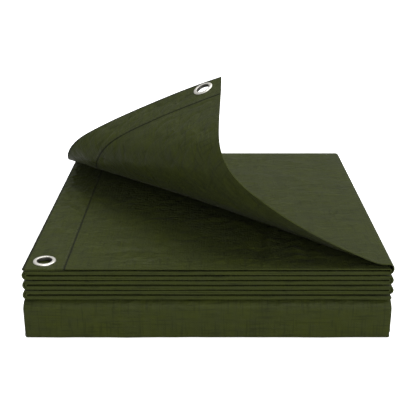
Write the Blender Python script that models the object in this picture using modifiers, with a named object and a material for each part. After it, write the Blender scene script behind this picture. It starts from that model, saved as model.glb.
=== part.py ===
"""A canvas tarp, folded into a square stack, with one corner of its top ply peeled back.

The cloth is folded in half, then back and forth into seven levels, and the long strip that
this makes is folded in three like a letter. The levels show at the front of the top panel,
and the two panels under it are pressed into one plain bundle. +Z is up, the front is at -Y,
and the origin is on the floor under the middle of the stack. Sizes are in metres.
"""

import math

import bmesh
import bpy
from mathutils import Matrix, Vector

WIDTH = 0.340                # across the stack, in X
DEPTH = 0.334                # front to back, in Y
STACK_TOP = 0.0735           # upper face of the ply under the lifted one
PLY = 0.0011                 # thickness of the canvas
HEM = 0.0017                 # thickness of the hem, where the canvas is doubled
HEM_WIDTH = 0.039
GAP = 0.0003                 # between pieces that meet

TWIN = 0.0022                # between the two plies of one level
LIFTED_HEIGHT = 0.0044       # middle of the top ply above the ply under it
PRESSED_PITCH = 0.00146      # from ply to ply in the two lower panels
MIDDLE_SPREAD = 0.004        # share by which the middle panel is wider
LAST_SPREAD = 0.011          # and the last panel, at the bottom
EDGE_ROUND = 0.0035          # corners of the bundle's rounded ends
BACK_STEP = 0.0025           # the last panel's edge, in from the back face
NEST = 0.0024                # from an outer fold to the one inside it
OUTER_SQUASH = 0.75          # an outer fold's depth as a share of half its height
FOLD_STEPS = 4
CORNER_STEPS = 2

LEVEL = ("drop", "reach", "set_back")
LEVELS = (
    # middle of the level under STACK_TOP, reach of the fold to the next level, front edge
    dict(zip(LEVEL, (0.0000, 0.0030, 0.0000))),
    dict(zip(LEVEL, (0.0048, 0.0008, 0.0006))),
    dict(zip(LEVEL, (0.0098, 0.0031, 0.0003))),
    dict(zip(LEVEL, (0.0149, 0.0011, 0.0008))),
    dict(zip(LEVEL, (0.0202, 0.0039, 0.0004))),
    dict(zip(LEVEL, (0.0252, 0.0017, 0.0010))),
    dict(zip(LEVEL, (0.0304, 0.0027, 0.0005))),
)
TOP, UNDER = 0, 1            # the lifted ply and the one under it
PLIES = 2 * len(LEVELS)
# The plies in the order that the cloth runs through them, from one hem to the other.
RUNS = (1, 2, 5, 6, 9, 10, 13, 12, 11, 8, 7, 4, 3, 0)
# The right folds reach further than the left ones, so the stack moves over to have its box
# about the origin.
RIGHT_REACH = max(level["reach"] for level in LEVELS[0::2])
LEFT_REACH = max(level["reach"] for level in LEVELS[1::2])
TO_MIDDLE = Vector(((LEFT_REACH - RIGHT_REACH) / 2 * (1 + LAST_SPREAD), 0.0, 0.0))

PEEL_START = 0.004           # where the peel line leaves the front edge, in from the right side
PEEL_END = 0.014             # where it meets the left side, short of the back corner
PEEL_APEX = 0.450            # from there on to the point that the roll's rulings meet at
BEND = ("across", "bend")
BENDS = (
    # share of the way from the peel line to the corner, and the bend there per radian
    dict(zip(BEND, (0.00, 90.0))),
    dict(zip(BEND, (0.05, 0.6))),
    dict(zip(BEND, (0.12, 2.4))),
    dict(zip(BEND, (0.22, 0.8))),
    dict(zip(BEND, (0.33, 3.3))),
    dict(zip(BEND, (0.42, 23.4))),
    dict(zip(BEND, (0.50, 29.3))),
    dict(zip(BEND, (0.60, 4.9))),
    dict(zip(BEND, (0.80, 0.1))),
    dict(zip(BEND, (1.00, 0.8))),
)
SAG = ("across", "reach", "move")
SAGS = (
    # The cloth's own weight and stretch: powers of the share across and of the reach from the
    # apex, each from its middle, and the move in (x, y, z) that they scale.
    dict(zip(SAG, (0, 0, (-0.0098, -0.0081, -0.0155)))),
    dict(zip(SAG, (1, 0, (-0.0149, -0.0005, 0.0015)))),
    dict(zip(SAG, (0, 1, (0.0222, 0.0321, 0.0458)))),
    dict(zip(SAG, (2, 0, (-0.0124, 0.0122, 0.0337)))),
    dict(zip(SAG, (1, 1, (0.0458, 0.1034, 0.0107)))),
    dict(zip(SAG, (0, 2, (0.0598, 0.0576, 0.1039)))),
    dict(zip(SAG, (2, 1, (-0.1106, -0.0356, -0.4171)))),
)
SAG_ACROSS, SAG_REACH = 0.50, 0.65   # the middles
SAG_FADE = 0.30              # share across by which the sag is in full
PEEL_STEPS = 120
LIFTED_COLUMNS, LIFTED_ROWS, HEM_COLUMNS = 18, 20, 3

UNDER_EYELET = (0.0179, 0.0160)     # eyelet's middle from the side and front edges
LIFTED_EYELET = (0.0137, 0.0211)
BORE = 0.0067
BARREL = 0.0006              # wall of the eyelet's barrel
FLANGE = 0.0107
DOME = 0.0010                # rise of the flange's rounded face
BACK_FLANGE = 0.0094
BACK_PLATE = 0.0005
RING_STEPS = 24
CUTTER_DEPTH = 0.012


# ---------------------------------------------------------------- scene and materials

def clear_scene():
    for obj in list(bpy.data.objects):
        bpy.data.objects.remove(obj, do_unlink=True)


def make_material(name, colour, roughness, metallic):
    material = bpy.data.materials.new(name)
    material.use_nodes = True
    shader = material.node_tree.nodes["Principled BSDF"]
    shader.inputs["Base Color"].default_value = (*colour, 1.0)
    shader.inputs["Roughness"].default_value = roughness
    shader.inputs["Metallic"].default_value = metallic
    return material


def make_object(name, bm, material, collection):
    mesh = bpy.data.meshes.new(name)
    bm.to_mesh(mesh)
    bm.free()
    obj = bpy.data.objects.new(name, mesh)
    obj.data.materials.append(material)
    collection.objects.link(obj)
    return obj


def make_sheet(name, columns, rows, place, kept, thickness, material, collection):
    """A flat grid, each point moved to place(column, row), then given its thickness."""
    bm = bmesh.new()
    bmesh.ops.create_grid(bm, x_segments=columns, y_segments=rows, size=0.5)
    index = {v: (round((v.co.x + 0.5) * columns), round((v.co.y + 0.5) * rows)) for v in bm.verts}
    dropped = []
    for face in bm.faces:
        corner = (min(index[v][0] for v in face.verts), min(index[v][1] for v in face.verts))
        if not kept(*corner):
            dropped.append(face)
    for vert, (column, row) in index.items():
        vert.co = place(column, row) + TO_MIDDLE
    bmesh.ops.delete(bm, geom=dropped, context="FACES")
    obj = make_object(name, bm, material, collection)
    solidify = obj.modifiers.new("Thickness", "SOLIDIFY")
    solidify.thickness = thickness
    solidify.offset = 0.0
    return obj


# ---------------------------------------------------------------- the folded stack

def level_of(ply):
    return ply // 2


def loose_height(ply):
    """Height of a ply's middle in the top panel."""
    if ply == TOP:
        return STACK_TOP + LIFTED_HEIGHT
    if ply == UNDER:
        return STACK_TOP - PLY / 2
    side = -1 if ply % 2 == 0 else 1
    return STACK_TOP - LEVELS[level_of(ply)]["drop"] - side * TWIN / 2


def turn(face, height_from, height_to, side):
    """Points (y, z) down one rounded end of the bundle: a corner, a flat face and a corner."""
    half = (height_from - height_to) / 2
    radius = min(EDGE_ROUND, 0.9 * half)
    points = []
    for middle, start in ((height_from - radius, 90), (height_to + radius, 0)):
        for step in range(CORNER_STEPS + 1):
            angle = math.radians(start - 90 * step / CORNER_STEPS)
            y = face - side * radius * (1 - math.cos(angle))
            points.append(Vector((y, middle + radius * math.sin(angle))))
    return points


def ply_path(ply):
    """Points (y, z) along a ply: top panel, back fold, middle panel, front fold, last panel."""
    last = PLIES - 1
    top = loose_height(ply)
    middle = PLY / 2 + (PLIES + ply) * PRESSED_PITCH
    low = PLY / 2 + (last - ply) * PRESSED_PITCH
    back = DEPTH / 2 - PLY / 2 - ply * PRESSED_PITCH
    front = -DEPTH / 2 + PLY / 2 + (last - ply) * PRESSED_PITCH
    start = -DEPTH / 2 + LEVELS[level_of(ply)]["set_back"]
    path = [Vector((start, top))]
    path += turn(back, top, middle, 1)
    path += turn(front, middle, low, -1)
    path.append(Vector((DEPTH / 2 - BACK_STEP, low)))
    return path


PATHS = [ply_path(ply) for ply in range(PLIES)]
ROWS = len(PATHS[0]) - 1
BACK_ROW = 1                                 # where the top panel ends
PRESSED_ROW = BACK_ROW + CORNER_STEPS + 1    # from here on the cloth is pressed
LAST_ROW = PRESSED_ROW + 2 * (CORNER_STEPS + 1)


def fold_shape(first, second, row):
    """Where the fold between two plies starts, and its depth, both in |x|, at this row."""
    reach = LEVELS[min(level_of(first), level_of(second))]["reach"]
    between = PATHS[first][row] - PATHS[second][row]
    half = max(abs(between.x), abs(between.y)) / 2
    end = WIDTH / 2 + reach - PLY / 2
    if abs(first - second) > 1:
        depth = OUTER_SQUASH * half
    else:
        depth = half
        if level_of(first) != level_of(second):
            end -= NEST
    return end - depth, depth


def stack_columns():
    """Each column of the folded sheet: how it finds its x, and the plies that it lies between."""
    columns = [("edge", UNDER, UNDER, 0.0), ("seam", UNDER, UNDER, 0.0)]
    for number, (first, second) in enumerate(zip(RUNS, RUNS[1:])):
        side = 1 if number % 2 == 0 else -1
        for step in range(FOLD_STEPS + 1):
            columns.append((side, first, second, step / FOLD_STEPS))
    columns += [("seam", TOP, TOP, 0.0), ("edge", TOP, TOP, 0.0)]
    return columns


COLUMNS = stack_columns()


def stack_point(column, row):
    kind, first, second, share = COLUMNS[column]
    if kind == "edge":
        x, blend = -WIDTH / 2, 0.0
    elif kind == "seam":
        x, blend = -WIDTH / 2 + HEM_WIDTH, 0.0
    else:
        start, depth = fold_shape(first, second, row)
        x = kind * (start + depth * math.sin(math.pi * share))
        blend = (1 - math.cos(math.pi * share)) / 2
    if row >= LAST_ROW:
        x *= 1 + LAST_SPREAD
    elif row >= PRESSED_ROW:
        x *= 1 + MIDDLE_SPREAD
    y, z = PATHS[first][row].lerp(PATHS[second][row], blend)
    return Vector((x, y, z))


def stack_keeps(column, row):
    """The top panel's hem strip and its lifted ply are pieces of their own."""
    if row >= BACK_ROW:
        return True
    return 1 <= column < len(COLUMNS) - 3


# ---------------------------------------------------------------- the peeled ply

RIGHT_EDGE = fold_shape(TOP, 3, 0)[0]
BACK_EDGE = PATHS[TOP][BACK_ROW].x
PEEL_RIGHT = Vector((WIDTH / 2 - PEEL_START, -DEPTH / 2))
PEEL_LEFT = Vector((-WIDTH / 2, DEPTH / 2 - PEEL_END))
ALONG = (PEEL_RIGHT - PEEL_LEFT).normalized()
ACROSS = Vector((ALONG.y, -ALONG.x))
APEX = PEEL_LEFT - ALONG * PEEL_APEX


def angle_from_peel(point):
    offset = point - APEX
    return math.atan2(offset.dot(ACROSS), offset.dot(ALONG))


TIP_ANGLE = angle_from_peel(Vector((-WIDTH / 2, -DEPTH / 2)))


def bend_at(share):
    for low, high in zip(BENDS, BENDS[1:]):
        if share <= high["across"]:
            part = (share - low["across"]) / (high["across"] - low["across"])
            return low["bend"] + part * (high["bend"] - low["bend"])
    return BENDS[-1]["bend"]


def ruling_directions():
    """Unit directions of the roll's rulings from the apex, one for each small step of angle."""
    ruling = Vector((ALONG.x, ALONG.y, 0.0))
    travel = Vector((ACROSS.x, ACROSS.y, 0.0))
    normal = Vector((0.0, 0.0, 1.0))
    step = TIP_ANGLE / PEEL_STEPS
    directions = [ruling.copy()]
    handed = 1.0 if ruling.cross(travel).z > 0 else -1.0
    for number in range(PEEL_STEPS + PEEL_STEPS // 10):
        spin = handed * (normal + bend_at((number + 0.5) / PEEL_STEPS) * ruling)
        turned = Matrix.Rotation(spin.length * step, 3, spin.normalized())
        ruling, travel, normal = turned @ ruling, turned @ travel, turned @ normal
        directions.append(ruling.copy())
    return directions


RULINGS = ruling_directions()


def sag_at(share, reach):
    """How far the roll's own weight moves a point of it."""
    fade = min(share / SAG_FADE, 1.0)
    fade *= fade * (3 - 2 * fade)
    moved = Vector((0.0, 0.0, 0.0))
    for sag in SAGS:
        scale = (share - SAG_ACROSS) ** sag["across"] * (reach - SAG_REACH) ** sag["reach"]
        moved += Vector(sag["move"]) * scale
    return moved * fade


def peeled(x, y):
    """Where the point (x, y) of the flat top ply lies once the corner is rolled back."""
    flat = Vector((x, y))
    level = STACK_TOP + LIFTED_HEIGHT
    angle = angle_from_peel(flat)
    if angle <= 0:
        return Vector((x, y, level))
    place = angle / TIP_ANGLE * PEEL_STEPS
    number = min(int(place), len(RULINGS) - 2)
    direction = RULINGS[number].lerp(RULINGS[number + 1], place - number)
    reach = (flat - APEX).length
    return Vector((APEX.x, APEX.y, level)) + direction * reach + sag_at(angle / TIP_ANGLE, reach)


def peeled_frame(x, y):
    """The peeled ply's place at (x, y), turned so that local +Z is its lower face's normal."""
    step = 0.002
    along_x = (peeled(x + step, y) - peeled(x - step, y)).normalized()
    along_y = (peeled(x, y + step) - peeled(x, y - step)).normalized()
    normal = -along_x.cross(along_y).normalized()
    along_y = normal.cross(along_x)
    frame = Matrix((along_x, along_y, normal)).transposed().to_4x4()
    frame.translation = peeled(x, y)
    return frame


def grid_place(low, high, columns, rows, surface):
    def place(column, row):
        x = low[0] + (high[0] - low[0]) * column / columns
        y = low[1] + (high[1] - low[1]) * row / rows
        return surface(x, y)
    return place


def keep_all(column, row):
    return True


# ---------------------------------------------------------------- hems and eyelets

def cut_hole(obj, frame, cutters):
    """A round hole through a hem strip, clear of the eyelet's barrel."""
    bm = bmesh.new()
    bmesh.ops.create_cone(
        bm, cap_ends=True, segments=RING_STEPS, radius1=BORE + BARREL + GAP,
        radius2=BORE + BARREL + GAP, depth=CUTTER_DEPTH,
        matrix=Matrix.Translation(TO_MIDDLE) @ frame,
    )
    cutter = make_object(obj.name + "_cutter", bm, obj.data.materials[0], cutters)
    cutter.hide_render = True
    cutter.display_type = "WIRE"
    hole = obj.modifiers.new("Hole", "BOOLEAN")
    hole.operation = "DIFFERENCE"
    hole.solver = "EXACT"
    hole.object = cutter


def eyelet_profile():
    """(radius, height) round the ring's section, from the top of the bore outward and down."""
    under = HEM / 2 + GAP
    crown = under + DOME
    middle = (BORE + FLANGE) / 2
    half = (FLANGE - BORE) / 2
    points = []
    for degrees in (165, 135, 105, 75, 45, 15):
        angle = math.radians(degrees)
        points.append((middle + half * math.cos(angle), under + (crown - under) * math.sin(angle)))
    points.append((FLANGE, under))
    points.append((BORE + BARREL, under))
    points.append((BORE + BARREL, -under))
    points.append((BACK_FLANGE, -under))
    points.append((BACK_FLANGE, -under - BACK_PLATE))
    points.append((BORE, -under - BACK_PLATE))
    return points


def make_eyelet(name, frame, material, collection):
    bm = bmesh.new()
    verts = [bm.verts.new((radius, 0.0, height)) for radius, height in eyelet_profile()]
    for first, second in zip(verts, verts[1:] + verts[:1]):
        bm.edges.new((first, second))
    ring = make_object(name, bm, material, collection)
    screw = ring.modifiers.new("Turned", "SCREW")
    screw.steps = RING_STEPS
    screw.render_steps = RING_STEPS
    screw.use_merge_vertices = True
    screw.merge_threshold = 0.00001
    screw.use_smooth_shade = True
    ring.matrix_world = Matrix.Translation(TO_MIDDLE) @ frame
    return ring


# ---------------------------------------------------------------- assembly

def build():
    clear_scene()
    parts = bpy.data.collections.new("folded_tarp")
    cutters = bpy.data.collections.new("cutters")
    for collection in (parts, cutters):
        bpy.context.scene.collection.children.link(collection)
    canvas = make_material("canvas", (0.045, 0.052, 0.019), 0.6, 0.0)
    canvas_top = make_material("canvas_top", (0.052, 0.058, 0.024), 0.55, 0.0)
    canvas_hem = make_material("canvas_hem", (0.048, 0.055, 0.021), 0.58, 0.0)
    steel = make_material("eyelet_metal", (0.79, 0.77, 0.72), 0.3, 1.0)

    make_sheet(
        "folded_cloth", len(COLUMNS) - 1, ROWS, stack_point, stack_keeps, PLY, canvas, parts,
    )

    seam = -WIDTH / 2 + HEM_WIDTH
    edge_low = (-WIDTH / 2, -DEPTH / 2)
    lifted = grid_place(
        (seam + GAP / 2, -DEPTH / 2), (RIGHT_EDGE - GAP, BACK_EDGE - GAP),
        LIFTED_COLUMNS, LIFTED_ROWS, peeled,
    )
    make_sheet(
        "lifted_ply", LIFTED_COLUMNS, LIFTED_ROWS, lifted, keep_all, PLY, canvas_top, parts,
    )

    strip = grid_place(
        edge_low, (seam - GAP / 2, BACK_EDGE - GAP), HEM_COLUMNS, LIFTED_ROWS, peeled,
    )
    lifted_hem = make_sheet(
        "lifted_hem", HEM_COLUMNS, LIFTED_ROWS, strip, keep_all, HEM, canvas_hem, parts,
    )
    lifted_frame = peeled_frame(-WIDTH / 2 + LIFTED_EYELET[0], -DEPTH / 2 + LIFTED_EYELET[1])
    cut_hole(lifted_hem, lifted_frame, cutters)

    hem_middle = STACK_TOP - HEM / 2
    flat_strip = grid_place(
        edge_low, (seam - GAP, PATHS[UNDER][BACK_ROW].x - GAP), 1, 1,
        lambda x, y: Vector((x, y, hem_middle)),
    )
    under_hem = make_sheet("under_hem", 1, 1, flat_strip, keep_all, HEM, canvas_hem, parts)
    under_frame = Matrix.Translation(
        (-WIDTH / 2 + UNDER_EYELET[0], -DEPTH / 2 + UNDER_EYELET[1], hem_middle)
    )
    cut_hole(under_hem, under_frame, cutters)

    make_eyelet("lifted_eyelet", lifted_frame, steel, parts)
    make_eyelet("under_eyelet", under_frame, steel, parts)


build()
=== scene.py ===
# A canvas tarp folded into a square stack, its top front corner rolled back.
import math

import bmesh
import bpy
import numpy as np
from mathutils import Matrix, Vector, noise


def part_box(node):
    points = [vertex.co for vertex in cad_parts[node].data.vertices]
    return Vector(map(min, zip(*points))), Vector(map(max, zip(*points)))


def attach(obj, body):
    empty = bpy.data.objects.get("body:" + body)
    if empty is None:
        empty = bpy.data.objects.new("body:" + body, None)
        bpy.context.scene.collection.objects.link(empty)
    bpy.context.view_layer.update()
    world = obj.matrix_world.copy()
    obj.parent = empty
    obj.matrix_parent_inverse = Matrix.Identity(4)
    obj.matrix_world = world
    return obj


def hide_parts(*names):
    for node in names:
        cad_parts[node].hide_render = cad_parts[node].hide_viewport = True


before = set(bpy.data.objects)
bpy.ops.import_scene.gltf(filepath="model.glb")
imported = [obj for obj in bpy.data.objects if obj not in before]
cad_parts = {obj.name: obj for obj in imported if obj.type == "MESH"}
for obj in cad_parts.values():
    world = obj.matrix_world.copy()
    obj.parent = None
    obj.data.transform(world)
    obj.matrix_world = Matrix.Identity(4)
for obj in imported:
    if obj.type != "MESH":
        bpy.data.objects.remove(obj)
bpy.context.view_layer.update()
stackLow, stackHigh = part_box("folded_cloth")
underLow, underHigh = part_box("under_hem")
print("frame loaded:", len(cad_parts), "nodes")

# what a user would change in the cloth; sizes in metres
cloth = {
    "width": 0.340, "depth": stackHigh.y - stackLow.y, "left": underLow.x,
    "top": underHigh.z,         # upper face of the ply under the lifted one
    "ply": 0.0011, "hem": 0.0017, "hemWidth": 0.039,
    "twin": 0.0017,             # between the two plies of one level
    "lift": 0.0044,             # from the under ply's upper face to the middle of the top ply
    "pitch": 0.00146,           # from ply to ply in the two pressed panels
    "middleSpread": 0.004, "lastSpread": 0.011,         # how much wider those two panels lie
    "round": 0.0035, "frontRound": 0.0072, "frontFoot": 0.0016,     # corners of the bundle's ends
    "cornerShare": 0.9,         # the most of half an end's height that a corner takes
    "frontDip": 0.0016,         # the front band's upper corner, below its panel
    "backStep": 0.0025,         # the last panel's edge, in from the back face
    "nest": 0.0024,             # from an outer side fold to the one inside it
    "squash": 0.75,             # an outer side fold's depth, as a share of half its height
    "foldSteps": 8, "cornerSteps": 6, "foldLength": 0.006,
}
halfWidth, halfDepth = cloth["width"] / 2, cloth["depth"] / 2
middleX = cloth["left"] + halfWidth

# each level of the top panel: its drop under the top, how far its fold reaches out past the
# side, and how far its front edge stands back
levels = [
    {"drop": 0.0000, "reach": 0.0030, "setBack": 0.0000},
    {"drop": 0.0048, "reach": 0.0008, "setBack": 0.0006},
    {"drop": 0.0098, "reach": 0.0031, "setBack": 0.0003},
    {"drop": 0.0149, "reach": 0.0011, "setBack": 0.0008},
    {"drop": 0.0202, "reach": 0.0039, "setBack": 0.0004},
    {"drop": 0.0252, "reach": 0.0017, "setBack": 0.0010},
    {"drop": 0.0304, "reach": 0.0027, "setBack": 0.0005},
]
plyCount = 2 * len(levels)
topPly, underPly, lastPly = 0, 1, plyCount - 1
runs = [1, 2, 5, 6, 9, 10, 13, 12, 11, 8, 7, 4, 3, 0]   # the plies in the cloth's own order

# the roll: where the peel line runs, how sharply the cloth bends across it, and a correction of
# up to 25 mm: powers of the share across and of the reach, and the move they scale. The peel
# line, the bends and the moves are a least-squares fit made by another program. They aren't
# worked out from the cloth, and the correction stretches or shrinks it by up to 6 percent
roll = {
    "startIn": 0.004, "endShort": 0.014, "apex": 0.450, "steps": 240, "overrun": 1.1,
    "across": [0.00, 0.05, 0.12, 0.22, 0.33, 0.42, 0.50, 0.60, 0.80, 1.00],
    "bend": [90.0, 0.6, 2.4, 0.8, 3.3, 23.4, 29.3, 4.9, 0.1, 0.8],
    "fitAcross": 0.50, "fitReach": 0.65, "fitFade": 0.30,
    "fitMoves": [
        (0, 0, (-0.0098, -0.0081, -0.0155)), (1, 0, (-0.0149, -0.0005, 0.0015)),
        (0, 1, (0.0222, 0.0321, 0.0458)), (2, 0, (-0.0124, 0.0122, 0.0337)),
        (1, 1, (0.0458, 0.1034, 0.0107)), (0, 2, (0.0598, 0.0576, 0.1039)),
        (2, 1, (-0.1106, -0.0356, -0.4171)),
    ],
}

# eyelets: their middles from the side and front edges of the cloth, and the ring's section
eyelet = {
    "underAt": (0.0179, 0.0160), "liftedAt": (0.0137, 0.0211),
    "bore": 0.0067, "barrel": 0.0006, "flange": 0.0107, "dome": 0.0010, "domePower": 0.8,
    "backFlange": 0.0094, "backPlate": 0.0005, "gap": 0.0003, "holeEdge": 0.0081,
    "edge": 0.00035, "lip": 0.0004, "seat": 0.0001,
    "calmFrom": 0.011, "calmTo": 0.018,         # no wrinkle nearer than this, full ones past it
    "domeSteps": 14, "domeTurn": 12.86, "segments": 72,     # turn in degrees for each step
}


def newObject(name, mesh, material=None):
    obj = bpy.data.objects.new(name, mesh)
    bpy.context.scene.collection.objects.link(obj)
    if material:
        mesh.materials.append(material)
    return obj


def frozen(obj):
    # the object with its modifiers worked in, as a plain mesh at the origin
    graph = bpy.context.evaluated_depsgraph_get()
    mesh = bpy.data.meshes.new_from_object(obj.evaluated_get(graph))
    obj.modifiers.clear()
    obj.data = mesh
    return obj


def smoothStep(low, high, value):
    share = np.clip((value - low) / (high - low), 0, 1)
    return share * share * (3 - 2 * share)


def spread(stops):
    # values from a list of (end, count) stretches that follow one another from 0
    values, low = [0.0], 0.0
    for high, count in stops:
        values += [low + (high - low) * (n + 1) / count for n in range(count)]
        low = high
    return np.array(values)


# the folded stack: every ply runs down the back, through the middle and back under the front
def looseHeight(ply):
    # the middle of a ply in the loose top panel
    if ply == topPly:
        return cloth["top"] + cloth["lift"]
    if ply == underPly:
        return cloth["top"] - cloth["ply"] / 2
    half = cloth["twin"] / 2 if ply % 2 == 0 else -cloth["twin"] / 2
    return cloth["top"] - levels[ply // 2]["drop"] + half


def turnPoints(face, high, low, side):
    # (y, z) down one rounded end of the bundle, at the back if side is 1 and the front if -1
    half = (high - low) / 2
    most = cloth["cornerShare"] * half
    upper = min(cloth["round" if side > 0 else "frontRound"], most)
    lower = min(cloth["round" if side > 0 else "frontFoot"], most)
    points = []
    for radius, middle, start in ((upper, high - upper, 90), (lower, low + lower, 0)):
        for step in range(cloth["cornerSteps"] + 1):
            angle = math.radians(start - 90 * step / cloth["cornerSteps"])
            y = face - side * radius * (1 - math.cos(angle))
            points.append((y, middle + radius * math.sin(angle)))
    return points


def plyPath(ply):
    # (y, z) from a ply's loose front edge to the end of the last panel
    pitch = cloth["pitch"]
    high = looseHeight(ply)
    middle = cloth["ply"] / 2 + (plyCount + ply) * pitch
    low = cloth["ply"] / 2 + (lastPly - ply) * pitch
    back = halfDepth - cloth["ply"] / 2 - ply * pitch
    front = -halfDepth + cloth["ply"] / 2 + (lastPly - ply) * pitch
    path = [(-halfDepth + levels[ply // 2]["setBack"], high)]
    path += turnPoints(back, high, middle, 1)
    path += turnPoints(front, middle - cloth["frontDip"] * ply / lastPly, low, -1)
    path.append((halfDepth - cloth["backStep"], low))
    return np.array(path)


paths = np.array([plyPath(ply) for ply in range(plyCount)])      # ply, node, (y, z)
nodeCount = paths.shape[1]
turnNodes = cloth["cornerSteps"] + 1
frontTurn = 1 + 2 * turnNodes        # node where the front fold starts
pathLengths = np.concatenate(
    [np.zeros((plyCount, 1)), np.cumsum(np.linalg.norm(np.diff(paths, axis=1), axis=2), axis=1)],
    axis=1,
)


def along(table, ply, nodes):
    # a ply's path, or its length so far, at fractional node numbers
    low = np.minimum(nodes.astype(int), nodeCount - 2)
    share = nodes - low
    first, second = table[ply][low], table[ply][low + 1]
    if first.ndim == 2:
        share = share[:, None]
    return first + (second - first) * share


def foldShape(first, second, nodes):
    # where a side fold between two plies starts, and how deep it is
    between = np.abs(along(paths, first, nodes) - along(paths, second, nodes))
    half = between.max(axis=1) / 2
    end = halfWidth + levels[min(first // 2, second // 2)]["reach"] - cloth["ply"] / 2
    if abs(first - second) > 1:
        depth = cloth["squash"] * half
    else:
        depth = half
        if first // 2 != second // 2:
            end -= cloth["nest"]
    return end - depth, depth


def widen(nodes):
    # the pressed panels lie a little wider than the top one
    middle = cloth["middleSpread"] * smoothStep(1, 1 + turnNodes, nodes)
    extra = cloth["lastSpread"] - cloth["middleSpread"]
    return 1 + middle + extra * smoothStep(frontTurn + 1, frontTurn + 2 * turnNodes - 2, nodes)


def flatColumn(x, ply, nodes):
    # points down one ply at a given x
    yz = along(paths, ply, nodes)
    return np.column_stack([x * widen(nodes) + middleX, yz])


def foldColumn(side, first, second, share, nodes):
    # points down a side fold, at a share of the way round from the first ply to the second
    start, depth = foldShape(first, second, nodes)
    x = side * (start + depth * math.sin(math.pi * share)) * widen(nodes)
    blend = (1 - math.cos(math.pi * share)) / 2
    yz = along(paths, first, nodes) * (1 - blend) + along(paths, second, nodes) * blend
    return np.column_stack([x + middleX, yz])


# the rolled-back ply bends over straight lines that fan out from one point, the apex
rightEdge = foldShape(topPly, 3, np.array([0.0]))[0][0]
peelRight = np.array([halfWidth - roll["startIn"], -halfDepth])
peelLeft = np.array([-halfWidth, halfDepth - roll["endShort"]])
peelAlong = (peelRight - peelLeft) / np.linalg.norm(peelRight - peelLeft)
peelAcross = np.array([peelAlong[1], -peelAlong[0]])
apex = peelLeft - peelAlong * roll["apex"]


def peelAngle(flat):
    # how far across the roll a flat point lies, as an angle at the apex
    offset = flat - apex
    return np.arctan2(offset @ peelAcross, offset @ peelAlong)


tipAngle = float(peelAngle(np.array([[-halfWidth, -halfDepth]]))[0])


def rulingDirections():
    # the straight lines of the roll, each turned on from the one before it
    ruling = Vector((peelAlong[0], peelAlong[1], 0))
    travel = Vector((peelAcross[0], peelAcross[1], 0))
    normal = Vector((0, 0, 1))
    handed = 1 if ruling.cross(travel).z > 0 else -1
    step = tipAngle / roll["steps"]
    directions = [ruling.copy()]
    for number in range(int(roll["overrun"] * roll["steps"])):
        bend = float(np.interp((number + 0.5) / roll["steps"], roll["across"], roll["bend"]))
        spin = handed * (normal + bend * ruling)
        turned = Matrix.Rotation(spin.length * step, 3, spin.normalized())
        ruling, travel, normal = turned @ ruling, turned @ travel, turned @ normal
        directions.append(ruling.copy())
    return np.array(directions)


rulings = rulingDirections()


def peeled(flat):
    # flat (x, y) of the top ply, measured from the stack's middle, to its place in the roll
    offset = flat - apex
    reach = np.linalg.norm(offset, axis=-1)
    place = np.clip(peelAngle(flat) / tipAngle * roll["steps"], 0, len(rulings) - 1.001)
    low = place.astype(int)
    share = (place - low)[..., None]
    direction = rulings[low] * (1 - share) + rulings[low + 1] * share
    point = direction * reach[..., None] + [apex[0], apex[1], 0]
    share = np.clip(peelAngle(flat) / tipAngle, 0, roll["overrun"])
    fade = smoothStep(0, roll["fitFade"], share)
    for acrossPower, reachPower, move in roll["fitMoves"]:
        scale = (share - roll["fitAcross"]) ** acrossPower
        scale = fade * scale * (reach - roll["fitReach"]) ** reachPower
        point += scale[..., None] * np.array(move)
    still = share <= 0
    point[still] = np.column_stack([flat[still], np.zeros(still.sum())])
    return point + [middleX, 0, cloth["top"] + cloth["lift"]]


# each from one point to another of the flat ply, in metres from its left and front edges,
# with its width and height; height is up on the flat cloth
liftedCreases = [
    {"start": (0.205, 0.300), "end": (0.300, 0.283), "width": 0.0050, "height": 0.0013},
    {"start": (0.240, 0.262), "end": (0.328, 0.270), "width": 0.0045, "height": -0.0014},
    {"start": (0.215, 0.235), "end": (0.290, 0.228), "width": 0.0050, "height": 0.0013},
    {"start": (0.262, 0.205), "end": (0.334, 0.213), "width": 0.0045, "height": -0.0014},
    {"start": (0.268, 0.182), "end": (0.325, 0.176), "width": 0.0040, "height": 0.0013},
    {"start": (0.285, 0.120), "end": (0.330, 0.124), "width": 0.0040, "height": -0.0014},
    {"start": (0.292, 0.098), "end": (0.334, 0.090), "width": 0.0035, "height": 0.0013},
    {"start": (0.062, 0.130), "end": (0.105, 0.078), "width": 0.0060, "height": -0.0009},
    {"start": (0.080, 0.140), "end": (0.128, 0.092), "width": 0.0055, "height": 0.0008},
    {"start": (0.100, 0.060), "end": (0.150, 0.028), "width": 0.0055, "height": -0.0008},
    {"start": (0.112, 0.085), "end": (0.162, 0.040), "width": 0.0060, "height": 0.0008},
    {"start": (0.058, 0.100), "end": (0.084, 0.052), "width": 0.0060, "height": 0.0006},
    {"start": (0.070, 0.040), "end": (0.128, 0.014), "width": 0.0055, "height": -0.0009},
    {"start": (0.024, 0.172), "end": (0.060, 0.150), "width": 0.0040, "height": 0.0006},
    {"start": (0.020, 0.190), "end": (0.052, 0.172), "width": 0.0035, "height": -0.0009},
    {"start": (0.150, 0.075), "end": (0.215, 0.020), "width": 0.0060, "height": -0.0007},
    {"start": (0.008, 0.205), "end": (0.036, 0.188), "width": 0.0035, "height": 0.0006},
    {"start": (0.006, 0.150), "end": (0.034, 0.128), "width": 0.0045, "height": -0.0004},
]
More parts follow.
